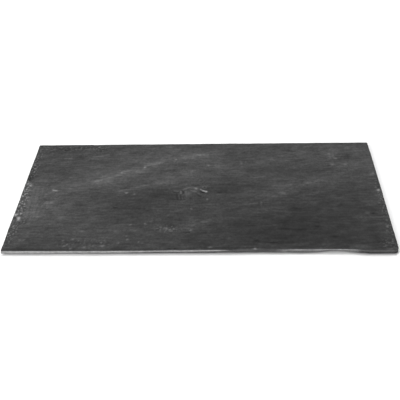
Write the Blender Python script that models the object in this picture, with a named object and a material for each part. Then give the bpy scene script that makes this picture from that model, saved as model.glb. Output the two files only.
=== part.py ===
"""A rectangular slab of natural slate that stands on four stick-on anti-slip pads.

X runs along the slab's long side, the front long edge faces -Y and Z is up. The origin is on the
surface that the pads stand on, under the middle of the slab.
"""

import math

import bmesh
import bpy
from mathutils import Vector, noise

MM = 0.001

# Slab
SLAB_LENGTH = 400 * MM
SLAB_WIDTH = 200 * MM
SLAB_THICKNESS = 4.5 * MM
CORNER_RADII = (5.0 * MM, 1.5 * MM, 1.0 * MM, 1.0 * MM)  # front right, back right, back left, front left
SHARPEST_CORNER = 0.3 * MM
STATION_SPACING = 5.0 * MM
ARC_STEPS = 5

# Hand-dressed edge: a small chamfer above, the broken face, and a larger chamfer below
TRIM_HOLLOW_DEPTH = 0.5 * MM
TRIM_HOLLOW_PITCH = 45.0 * MM
TOP_DRESS_MIN = 0.3 * MM
TOP_DRESS_MAX = 0.9 * MM
TOP_DRESS_HEIGHT = 0.7 * MM
UNDER_DRESS_MIN = 0.8 * MM
UNDER_DRESS_MAX = 1.8 * MM
UNDER_DRESS_HEIGHT = 1.1 * MM
DRESS_PITCH = 11.0 * MM

# Where the front face departs from that: places along X from the slab's middle, and values, in mm.
# Its top arris leans back more and more towards the right, and ends at a step beside a chip.
FRONT_TOP_SETBACK = (
    (-200, 0.8), (-120, 0.1), (-50, 0.5), (0, 1.1), (45, 1.2),
    (75, 2.3), (110, 2.6), (134, 2.1), (155, 2.2), (166, 0.0),
)
FRONT_BELLY_SETBACK = ((-200, 0.8), (-100, 0.9), (-20, 1.2), (45, 1.5), (95, 1.4), (155, 1.0), (170, 0.0))
FRONT_BELLY_RISE = ((-200, 0.1), (-20, 0.3), (45, 0.5), (95, 0.4), (155, 0.2), (172, -0.8))
CHAMFER_SHARE = 0.7  # how much of the top's setback is left below the top chamfer
FRONT_CHIP_X = 136 * MM
FRONT_CHIP_LENGTH = 50 * MM
FRONT_CHIP_DEPTH = 3.5 * MM
FRONT_CHIP_FACE = 0.4 * MM  # height of the face left between the chip and the top chamfer
BELLY_CHIP_SHARE = 0.35  # how much of the chip's depth shows at the edge's widest line
BACK_NICK_X = -130 * MM
BACK_NICK_LENGTH = 10 * MM
BACK_NICK_DEPTH = 2.2 * MM

# Anti-slip pads: a foam disc held by a disc of double-sided film
PAD_DIAMETER = 15.0 * MM
PAD_THICKNESS = 0.8 * MM
FILM_THICKNESS = 0.2 * MM
FILM_MARGIN = 0.2 * MM  # between the film's rim and the pad's
PAD_INSET = 22.0 * MM  # from the slab's edges to the pad's centre
PAD_SIDES = 48
SEAT_GAP = 0.3 * MM

FILM_DIAMETER = PAD_DIAMETER - 2 * FILM_MARGIN
FILM_BOTTOM = PAD_THICKNESS + SEAT_GAP
SLAB_BOTTOM = FILM_BOTTOM + FILM_THICKNESS + SEAT_GAP
SLAB_TOP = SLAB_BOTTOM + SLAB_THICKNESS


def clear_scene():
    for old in list(bpy.data.objects):
        bpy.data.objects.remove(old, do_unlink=True)


def make_material(name, colour, roughness):
    material = bpy.data.materials.new(name)
    material.use_nodes = True
    shader = material.node_tree.nodes["Principled BSDF"]
    shader.inputs["Base Color"].default_value = (*colour, 1.0)
    shader.inputs["Roughness"].default_value = roughness
    shader.inputs["Metallic"].default_value = 0.0
    material.diffuse_color = (*colour, 1.0)
    return material


def add_object(name, bm, material):
    bmesh.ops.recalc_face_normals(bm, faces=bm.faces)
    mesh = bpy.data.meshes.new(name)
    bm.to_mesh(mesh)
    bm.free()
    mesh.materials.append(material)
    part = bpy.data.objects.new(name, mesh)
    bpy.context.collection.objects.link(part)
    return part


# The slab's outline is followed anticlockwise, station by station. A station is a corner's number,
# whether it is on that corner's arc or on the side after it, and how far along that it is.

def outline_stations():
    stations = []
    for corner in range(4):
        side_length = SLAB_LENGTH if corner % 2 else SLAB_WIDTH
        side_steps = round(side_length / STATION_SPACING)
        for step in range(ARC_STEPS + 1):
            stations.append((corner, "arc", step / ARC_STEPS))
        for step in range(1, side_steps):
            stations.append((corner, "side", step / side_steps))
    return stations


def arc_point(corner, share, inset):
    side_x = 1 if corner in (0, 1) else -1
    side_y = 1 if corner in (1, 2) else -1
    radius = max(CORNER_RADII[corner] - inset, SHARPEST_CORNER)
    centre = Vector((
        side_x * (SLAB_LENGTH / 2 - inset - radius),
        side_y * (SLAB_WIDTH / 2 - inset - radius),
    ))
    angle = math.radians(90 * (corner - 1 + share))
    return centre + radius * Vector((math.cos(angle), math.sin(angle)))


def outline_point(station, inset=0.0):
    """Return a station's place on the outline when it is drawn in by an inset."""
    corner, kind, share = station
    if kind == "arc":
        return arc_point(corner, share, inset)
    start = arc_point(corner, 1.0, inset)
    end = arc_point((corner + 1) % 4, 0.0, inset)
    return start.lerp(end, share)


def ragged(place, pitch, layer):
    """Return a smooth irregular value from -1 to 1 that depends on the place alone."""
    return noise.noise(Vector((place.x / pitch, place.y / pitch, layer)))


def hump(x, centre, length):
    """Rise smoothly from 0 to 1 and back over a length along X."""
    share = (x - centre) / length
    return math.cos(math.pi * share) ** 2 if abs(share) < 0.5 else 0.0


def along_front(x, places):
    """Return the value at X from a list of places and values in mm, held beyond its ends."""
    if x <= places[0][0] * MM:
        return places[0][1] * MM
    for (start, before), (end, after) in zip(places, places[1:]):
        if x <= end * MM:
            share = (x / MM - start) / (end - start)
            return (before + (after - before) * share) * MM
    return places[-1][1] * MM


def edge_profile(station):
    """Return the edge's section at a station, from the top arris down, as insets and heights."""
    place = outline_point(station)
    front = 1.0 if place.y < -SLAB_WIDTH / 2 + CORNER_RADII[0] else 0.0
    back = 1.0 if place.y > SLAB_WIDTH / 2 - CORNER_RADII[1] else 0.0
    trim = TRIM_HOLLOW_DEPTH * max(0.0, ragged(place, TRIM_HOLLOW_PITCH, 0.5))
    upper_share = 0.5 + 0.5 * ragged(place, DRESS_PITCH, 3.5)
    lower_share = 0.5 + 0.5 * ragged(place, DRESS_PITCH, 7.5)
    upper = TOP_DRESS_MIN + (TOP_DRESS_MAX - TOP_DRESS_MIN) * upper_share
    lower = UNDER_DRESS_MIN + (UNDER_DRESS_MAX - UNDER_DRESS_MIN) * lower_share
    chip = front * hump(place.x, FRONT_CHIP_X, FRONT_CHIP_LENGTH)
    nick = back * hump(place.x, BACK_NICK_X, BACK_NICK_LENGTH)
    top_setback = front * along_front(place.x, FRONT_TOP_SETBACK)
    belly_setback = front * along_front(place.x, FRONT_BELLY_SETBACK)
    chamfer_height = SLAB_TOP - TOP_DRESS_HEIGHT
    belly_height = SLAB_BOTTOM + UNDER_DRESS_HEIGHT + front * along_front(place.x, FRONT_BELLY_RISE)
    belly_height += chip * (chamfer_height - FRONT_CHIP_FACE - belly_height)
    return (
        (trim + upper + nick * BACK_NICK_DEPTH + top_setback, SLAB_TOP),
        (trim + CHAMFER_SHARE * top_setback + (1 - CHAMFER_SHARE) * belly_setback, chamfer_height),
        (trim + belly_setback + chip * FRONT_CHIP_DEPTH * BELLY_CHIP_SHARE, belly_height),
        (trim + belly_setback + lower + chip * FRONT_CHIP_DEPTH, SLAB_BOTTOM),
    )


def make_slab():
    bm = bmesh.new()
    stations = outline_stations()
    rings = []
    for level in zip(*(edge_profile(station) for station in stations)):
        ring = []
        for station, (inset, height) in zip(stations, level):
            place = outline_point(station, inset)
            ring.append(bm.verts.new((place.x, place.y, height)))
        rings.append(ring)
    for above, below in zip(rings, rings[1:]):
        for here, _ in enumerate(above):
            before = here - 1
            bm.faces.new((above[before], below[before], below[here], above[here]))
    bm.faces.new(rings[0])
    bm.faces.new(reversed(rings[-1]))
    slate = make_material("dark_slate", (0.062, 0.063, 0.065), 0.62)
    return add_object("slab", bm, slate)


def disc_mesh(name, diameter, thickness, material):
    """Make a flat round disc whose underside is at its object's origin."""
    bm = bmesh.new()
    bmesh.ops.create_cone(
        bm,
        cap_ends=True,
        segments=PAD_SIDES,
        radius1=diameter / 2,
        radius2=diameter / 2,
        depth=thickness,
    )
    bmesh.ops.translate(bm, verts=bm.verts, vec=(0, 0, thickness / 2))
    mesh = bpy.data.meshes.new(name)
    bm.to_mesh(mesh)
    bm.free()
    mesh.materials.append(material)
    mesh.shade_smooth()
    mesh.set_sharp_from_angle(angle=math.radians(40))
    return mesh


def make_pads():
    foam = make_material("black_foam", (0.018, 0.018, 0.019), 0.9)
    film = make_material("adhesive_film", (0.62, 0.58, 0.47), 0.35)
    layers = (
        ("foot_pad", disc_mesh("foot_pad", PAD_DIAMETER, PAD_THICKNESS, foam), 0.0),
        ("adhesive_disc", disc_mesh("adhesive_disc", FILM_DIAMETER, FILM_THICKNESS, film), FILM_BOTTOM),
    )
    for row, side_y in (("front", -1), ("back", 1)):
        for column, side_x in (("left", -1), ("right", 1)):
            x = side_x * (SLAB_LENGTH / 2 - PAD_INSET)
            y = side_y * (SLAB_WIDTH / 2 - PAD_INSET)
            for kind, mesh, height in layers:
                disc = bpy.data.objects.new(f"{kind}_{row}_{column}", mesh)
                disc.location = (x, y, height)
                bpy.context.collection.objects.link(disc)


clear_scene()
make_slab()
make_pads()
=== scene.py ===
"""Looks of a natural slate slab on four stick-on pads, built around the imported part.

The slab is one dense closed mesh: a cleft top with its markings, an edge of broken layers and a
cleft underside. Each pad is a die-cut foam disc on a film disc. Sizes are in metres, except in the
lists that say mm.
"""

import math

import bpy
import numpy as np
from mathutils import Matrix, Vector, noise


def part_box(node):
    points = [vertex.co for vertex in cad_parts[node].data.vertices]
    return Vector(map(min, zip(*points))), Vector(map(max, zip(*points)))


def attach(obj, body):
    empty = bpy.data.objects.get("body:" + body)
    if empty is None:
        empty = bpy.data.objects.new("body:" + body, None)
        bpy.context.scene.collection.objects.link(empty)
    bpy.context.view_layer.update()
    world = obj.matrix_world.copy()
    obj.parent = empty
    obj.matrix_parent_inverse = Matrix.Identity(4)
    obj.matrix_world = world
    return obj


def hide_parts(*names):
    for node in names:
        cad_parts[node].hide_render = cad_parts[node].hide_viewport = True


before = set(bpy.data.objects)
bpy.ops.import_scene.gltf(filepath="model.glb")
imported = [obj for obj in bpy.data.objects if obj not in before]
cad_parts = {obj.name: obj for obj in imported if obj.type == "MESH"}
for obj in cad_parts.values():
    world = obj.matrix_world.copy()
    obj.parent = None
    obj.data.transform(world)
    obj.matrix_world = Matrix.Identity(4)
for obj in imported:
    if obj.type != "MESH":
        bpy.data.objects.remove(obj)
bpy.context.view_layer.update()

MM = 0.001
SLAB_LOW, SLAB_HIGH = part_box("slab")
HALF_X = (SLAB_HIGH.x - SLAB_LOW.x) / 2
HALF_Y = (SLAB_HIGH.y - SLAB_LOW.y) / 2
TOP = SLAB_HIGH.z
BOTTOM = SLAB_LOW.z

# Corners of the outline, as side in X, side in Y and radius
CORNERS = ((1, -1, 5.0 * MM), (1, 1, 1.5 * MM), (-1, 1, 1.0 * MM), (-1, -1, 1.0 * MM))

# The slab's mesh: lines this far apart, closer at the edges and around the knot
GRID_SPACING = 1.35 * MM
EDGE_SPACING = 0.7 * MM
EDGE_REACH = 3.0 * MM
WORN_REACH = 8.0 * MM  # the left end is the most worn
KNOT_SPACING = 0.7 * MM
KNOT_CENTRE = (-8 * MM, 0.0)
KNOT_REACH = (22 * MM, 12 * MM)
INSET_REACH = 12.0 * MM  # how far in from the edge its shape is felt

# Section of the broken edge, as in the CAD part
TRIM_DEPTH = 0.5 * MM
TRIM_PITCH = 45 * MM
TOP_DRESS = (0.3 * MM, 0.9 * MM)
TOP_DRESS_HEIGHT = 0.7 * MM
UNDER_DRESS = (0.8 * MM, 1.8 * MM)
UNDER_DRESS_HEIGHT = 1.1 * MM
DRESS_PITCH = 11 * MM
# How the front departs from it: places along X and values, in mm. The top arris and the widest line
# stand back, and the widest line is raised.
TOP_SETBACK = (
    (-200, 0.8), (-120, 0.1), (-50, 0.5), (0, 1.1), (45, 1.2),
    (75, 2.3), (110, 2.6), (134, 2.1), (155, 2.2), (166, 0),
)
BELLY_SETBACK = (
    (-200, 0.8), (-100, 0.9), (-20, 1.2), (45, 1.5), (95, 1.4), (155, 1.0), (170, 0),
)
BELLY_RISE = ((-200, 0.1), (-20, 0.3), (45, 0.5), (95, 0.4), (155, 0.2), (172, -0.8))
CHAMFER_SHARE = 0.7  # how much of the top's setback is left below the top chamfer
CHIP_X = 136 * MM
CHIP_LENGTH = 50 * MM
CHIP_DEPTH = 3.5 * MM
CHIP_RISE = 2.0 * MM
STEP_X = 160 * MM  # from here to the right the break is dark, darkest low down as painted shade
BELLY_CHIP_SHARE = 0.35  # how much of the chip's depth shows at the widest line
NICK_X = -130 * MM
NICK_LENGTH = 10 * MM
NICK_DEPTH = 2.2 * MM

# The rings down the edge, as places along its section: 0 top arris, 1 under the top chamfer,
# 2 widest line, 3 lower arris. Rings that nearly touch make a ledge between two layers.
EDGE_RINGS = (0.35, 0.8, 0.86, 1.15, 1.2, 1.42, 1.48, 1.72, 1.78, 2.05, 2.12, 2.5, 2.58, 3.0)
SECTION_LAYERS = 3.4  # layers between one place and the next
LAYER_DEPTH = 0.45 * MM
LAYER_PITCH = 16 * MM
LAYER_ROUGHNESS_PITCH = 4 * MM
LAYER_WAVE = 0.12 * MM
LAYER_WAVE_PITCH = 21 * MM
LEAST_RING_DROP = 0.06 * MM
UNDERSIDE_MARGIN = 0.7 * MM


# Smooth helpers on arrays

def smooth(share):
    """Ease from 0 to 1, held outside that range."""
    share = np.clip(share, 0.0, 1.0)
    return share * share * (3 - 2 * share)


def hump(x, centre, length):
    """Rise from 0 to 1 and back over a length, as in the CAD part."""
    share = np.clip((x - centre) / length, -0.5, 0.5)
    return np.cos(math.pi * share) ** 2


def noise_at(x, y, pitch, layer, stretch=1.0):
    """Sample smooth noise from -1 to 1, drawn out along X by a stretch."""
    across = (np.ravel(x) / (pitch * stretch)).tolist()
    up = (np.ravel(y) / pitch).tolist()
    values = [noise.noise((a, b, layer)) for a, b in zip(across, up)]
    return np.array(values).reshape(np.shape(x))


def turned(x, y, degrees):
    """Return coordinates along and across a direction."""
    angle = math.radians(degrees)
    along = x * math.cos(angle) + y * math.sin(angle)
    across = y * math.cos(angle) - x * math.sin(angle)
    return along, across


def stroke(x, y, path, width):
    """Return 1 on a line through points given in mm, falling away to 0 over its width in mm."""
    best = np.full(np.shape(x), np.inf)
    for (ax, ay), (bx, by) in zip(path, path[1:]):
        run_x, run_y = (bx - ax) * MM, (by - ay) * MM
        px, py = x - ax * MM, y - ay * MM
        share = np.clip((px * run_x + py * run_y) / (run_x ** 2 + run_y ** 2), 0, 1)
        best = np.minimum(best, np.hypot(px - share * run_x, py - share * run_y))
    return np.exp(-((best / (width * MM)) ** 2))


def spot(x, y, centre, size, degrees=0.0):
    """Return 1 at a centre in mm, falling to 0 over an oval's half-lengths in mm."""
    along, across = turned(x - centre[0] * MM, y - centre[1] * MM, degrees)
    return np.exp(-((along / (size[0] * MM)) ** 2) - (across / (size[1] * MM)) ** 2)


# Objects

def add_object(name, data):
    """Put a new object in the scene."""
    added = bpy.data.objects.new(name, data)
    bpy.context.scene.collection.objects.link(added)
    return added


def add_piece(mesh, sharp_degrees):
    """Smooth a mesh, keep the edges that turn more than an angle sharp, and add it."""
    mesh.shade_smooth()
    mesh.set_sharp_from_angle(angle=math.radians(sharp_degrees))
    return add_object(mesh.name, mesh)


# Outline and edge section

def edge_weight(distance):
    """Return 1 at the edge, falling to 0 where its shape is no longer felt."""
    return np.clip(1 - distance / INSET_REACH, 0, 1)


def draw_in(x, y, inset_x, inset_y):
    """Round a rectangle's corners and move the places near its edges in by their insets."""
    round_x, round_y = x.copy(), y.copy()
    for side_x, side_y, radius in CORNERS:
        past_x = side_x * x - (HALF_X - radius)
        past_y = side_y * y - (HALF_Y - radius)
        inside = (past_x > 0) & (past_y > 0)
        reach = np.hypot(past_x, past_y)
        scale = np.where(inside, np.maximum(past_x, past_y) / np.maximum(reach, 1e-9), 1)
        round_x = np.where(inside, side_x * (HALF_X - radius + past_x * scale), round_x)
        round_y = np.where(inside, side_y * (HALF_Y - radius + past_y * scale), round_y)
    weight_x = edge_weight(HALF_X - np.abs(x))
    weight_y = edge_weight(HALF_Y - np.abs(y))
    return round_x - np.sign(x) * weight_x * inset_x, round_y - np.sign(y) * weight_y * inset_y


def along_front(x, places):
    """Return the value at X from a short list of places and values in mm."""
    return np.interp(x, [place * MM for place, _ in places], [value * MM for _, value in places])


def edge_insets(x, y, on_front=0.0, on_back=0.0):
    """Return how far in each of the section's four lines is, at places on the outline."""
    trim = TRIM_DEPTH * np.maximum(0, noise_at(x, y, TRIM_PITCH, 0.5))
    upper_share = 0.5 + 0.5 * noise_at(x, y, DRESS_PITCH, 3.5)
    lower_share = 0.5 + 0.5 * noise_at(x, y, DRESS_PITCH, 7.5)
    upper = TOP_DRESS[0] + (TOP_DRESS[1] - TOP_DRESS[0]) * upper_share
    lower = UNDER_DRESS[0] + (UNDER_DRESS[1] - UNDER_DRESS[0]) * lower_share
    chip = on_front * hump(x, CHIP_X, CHIP_LENGTH) * CHIP_DEPTH
    nick = on_back * hump(x, NICK_X, NICK_LENGTH) * NICK_DEPTH
    top_setback = on_front * along_front(x, TOP_SETBACK)
    belly_setback = on_front * along_front(x, BELLY_SETBACK)
    return (
        trim + upper + nick + top_setback,
        trim + CHAMFER_SHARE * top_setback + (1 - CHAMFER_SHARE) * belly_setback,
        trim + belly_setback + BELLY_CHIP_SHARE * chip,
        trim + belly_setback + lower + chip,
    )


def insets_at(x, y):
    """Return the insets that the nearest side and the nearest end of the slab give to places."""
    side_insets = edge_insets(np.sign(x) * HALF_X, y)
    end_insets = edge_insets(x, np.sign(y) * HALF_Y, 1.0 * (y < 0), 1.0 * (y > 0))
    return side_insets, end_insets


def edge_heights(x, y):
    """Return the heights of the section's four lines at places on the outline."""
    on_front = smooth((-y - HALF_Y + 6 * MM) / (5 * MM))
    rise = on_front * (along_front(x, BELLY_RISE) + CHIP_RISE * hump(x, CHIP_X, CHIP_LENGTH))
    level = np.ones(np.shape(x))
    belly = BOTTOM + UNDER_DRESS_HEIGHT + rise
    return TOP * level, (TOP - TOP_DRESS_HEIGHT) * level, belly, BOTTOM * level


# Cleft faces

def terrace(level, width):
    """Turn a smooth field into flat treads with short ramps between them."""
    tread = np.floor(level)
    return tread + smooth((level - tread - 0.5) / width + 0.5)


def cleft(x, y, layer, ledge):
    """Return the relief of a split face, in metres, up to 0 at its highest."""
    along, across = turned(x, y, 22)
    swell = noise_at(along, across, 60 * MM, layer, 2.2)
    level = 2.2 * noise_at(along, across, 42 * MM, layer + 3, 2.5)
    level += 0.35 * noise_at(x, y, 9 * MM, layer + 5, 2.0)
    grain = noise_at(x, y, 2.2 * MM, layer + 7, 9.0)
    ripple = noise_at(along, across, 7 * MM, layer + 9, 3.0)
    relief = 0.16 * MM * swell + ledge * terrace(level, 0.35)
    relief = relief + 0.018 * MM * grain + 0.03 * MM * ripple
    return relief - relief.max()


# Markings of the top face, in mm. Broad areas: centre, half-lengths, brightness, and turn in
# degrees where there is one
BROAD_AREAS = (
    ((-182, -26), (30, 30), 0.42), ((-172, 8), (36, 16), 0.22, 15),
    ((-108, 26), (34, 13), 0.34, 24), ((-22, 70), (30, 9), 0.5, 12), ((-7, 74), (12, 6), 0.2),
    ((137, -46), (6, 3), 0.3), ((152, -54), (5, 3), -0.16), ((70, -66), (7, 3), 0.2),
    ((-80, 68), (40, 12), 0.14, 10), ((-62, 46), (30, 10), 0.16, 28), ((-12, 34), (16, 9), 0.16),
    ((150, 78), (52, 14), 0.26, 4), ((168, 46), (34, 9), 0.24, 24), ((95, 12), (26, 8), 0.2, 14),
    ((80, -8), (18, 7), 0.2, 20), ((100, 70), (12, 6), 0.14, 22), ((-48, -2), (28, 13), -0.42, 4),
    ((-66, -38), (34, 14), -0.16), ((26, 6), (26, 7), -0.34, -6), ((52, 12), (22, 5), -0.2, -8),
    ((166, 8), (34, 12), -0.18), ((150, -34), (76, 24), -0.3, 6), ((82, -76), (62, 26), -0.46),
    ((158, -70), (48, 24), -0.28), ((28, -66), (36, 26), -0.13), ((4, -88), (44, 14), -0.16),
    ((-172, 50), (16, 14), -0.12, 10), ((-196, 30), (6, 8), -0.34), ((-176, 92), (36, 8), -0.16),
    ((0, 92), (30, 5), -0.14), ((-168, -97), (44, 3.4), -0.26), ((40, -30), (150, 36), -0.19),
    ((-70, -24), (36, 13), -0.14), ((150, -12), (34, 13), -0.14), ((-70, -88), (56, 9), -0.18),
    ((184, -86), (18, 14), -0.24), ((-32, 24), (22, 8), 0.3, 10), ((30, 24), (20, 7), -0.18),
    ((-122, 34), (26, 10), 0.16, 20), ((78, 40), (26, 9), -0.14), ((150, 40), (16, 8), -0.22),
    ((30, 55), (16, 9), 0.16), ((-24, 82), (26, 7), 0.16), ((-30, 38), (95, 36), 0.15),
    ((-30, 24), (15, 8), 0.16), ((194, -94), (9, 6), -0.2), ((-100, 8), (40, 8), 0.1),
    ((-58, 40), (14, 8), 0.1), ((62, 70), (15, 9), 0.18), ((-30, 89), (18, 8), 0.22),
    ((-122, 67), (14, 6), 0.24), ((-160, 57), (24, 8), 0.2), ((-180, 24), (14, 8), 0.16),
    ((0, -24), (13, 6), 0.16), ((30, -72), (16, 9), 0.14), ((182, -22), (13, 9), 0.18),
    ((-184, 42), (12, 7), -0.2), ((-180, -8), (15, 7), -0.2), ((105, 40), (55, 8), -0.2),
    ((152, 40), (13, 8), -0.12), ((90, 80), (13, 15), -0.22), ((-150, 72), (14, 8), -0.14),
    ((-60, -72), (24, 20), -0.2), ((-30, -56), (13, 8), -0.18), ((-135, -84), (26, 10), -0.2),
    ((0, -88), (15, 8), -0.22), ((150, -88), (42, 8), -0.22), ((90, -54), (14, 7), -0.16),
    ((40, -14), (30, 6), -0.14), ((32, 24), (12, 6), -0.28), ((62, 40), (12, 7), -0.16),
    ((-30, 40), (13, 7), -0.16), ((-150, 26), (12, 7), -0.18), ((-120, 90), (12, 6), -0.18),
    ((2, -6), (10, 5), -0.14), ((182, -44), (13, 8), 0.14), ((-60, -72), (15, 7), 0.14),
    ((-30, -90), (13, 6), 0.16), ((-182, -88), (14, 7), -0.14),
)
# Streaks: points along them, half-width, brightness
STREAKS = (
    (((-150, 10), (-132, 17), (-114, 22)), 5, 0.28),
    (((-114, 23), (-102, 32), (-92, 38)), 5.8, 0.42), (((-92, 38), (-78, 42), (-67, 46)), 5, 0.38),
    (((-67, 49), (-58, 54), (-46, 57)), 5, 0.34), (((-46, 58), (-30, 64), (-14, 67)), 4.4, 0.32),
    (((-90, 3), (-84, 5), (-72, 10), (-60, 14)), 1.6, 0.5), (((-58, 15), (-36, 20)), 1.8, 0.24),
    (((-129, 72.5), (-120, 74), (-112, 76.5)), 1.7, 0.52), (((-111, 72), (-111, 82)), 1, 0.36),
    (((-164, 69.5), (-155, 69.5)), 1.1, 0.55), (((-75, 39), (-66, 39)), 0.9, 1.05),
    (((-84, 43), (-74, 43)), 1, 0.55), (((-66.5, 53), (-58, 53.2)), 0.9, 1.35),
    (((-67, 46.5), (-65.5, 50)), 1.2, 1.1), (((-66, 57), (-59, 57)), 0.9, 0.45),
    (((-52, 58), (-45, 58.5)), 1.4, 0.85), (((-14, 77), (-4, 75), (6, 74)), 3, 0.42),
    (((-40, 78), (-34, 75.5), (-27, 74.5)), 1.6, -0.45), (((-36, 57), (-12, 63.5)), 2.6, -0.16),
    (((70, -17), (77, -9), (92, -3)), 3.6, 0.3), (((92, -1), (104, 8), (116, 15)), 2.6, 0.2),
    (((116, 13), (122, 18)), 2.2, 0.66), (((122, 17), (140, 26), (152, 31), (190, 50)), 2.2, 0.26),
    (((74, 61), (88, 67), (104, 74)), 3, 0.2), (((56, 30), (61, 26.5), (66, 28), (73, 29)), 1, 0.4),
    (((79, 26.5), (90, 26.5)), 0.9, 0.3), (((138, 44), (150, 49), (160, 55)), 2, 0.16),
    (((46, -24), (62, -21)), 1.6, 0.22), (((-105, -67), (-62, -66)), 1.7, 0.2),
    (((-20, -62), (-10, -58), (0, -54), (12, -50)), 3, 0.34),
    (((-95, -29.4), (-60, -29.6)), 0.8, -0.22), (((-50, -29), (-12, -29)), 0.8, 0.2),
    (((-16, -71), (-9, -70.5)), 0.8, -0.35), (((84, -65), (94, -65.5)), 1.2, -0.22),
    (((98, -67), (110, -67)), 1.4, -0.22), (((66, -80), (96, -79)), 1.6, -0.18),
    (((68, -87.5), (96, -87)), 1.7, -0.24), (((50, -60), (76, -58)), 1, -0.2),
    (((124, -45), (160, -46)), 1.2, -0.12), (((92, -46), (118, -46)), 1.2, -0.16),
    (((104, 82), (113, 80)), 1.2, -0.24), (((10, 13), (34, 14), (60, 11)), 1.7, -0.18),
    (((-10, -97.2), (30, -97), (56, -96.6)), 1.2, -0.45),
    (((-198, -97.5), (-120, -98), (-20, -97.8)), 1.2, -0.3),
    (((60, -96.2), (150, -96.4)), 1.3, -0.25), (((151, 66), (151, 76)), 0.9, 0.62),
    (((155, 66), (155, 76)), 0.9, 0.62), (((149, 65), (158, 65.5)), 1, 0.95),
    (((124, 91), (132, 94)), 1.1, 0.42), (((-189, -10), (-185, -44)), 1.1, 0.34),
    (((-185, -6), (-181, -46)), 1.1, 0.34), (((-181, -4), (-177.5, -42)), 1.1, 0.3),
    (((-171, 8), (-170.5, 18)), 0.9, -0.22),
)
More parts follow.
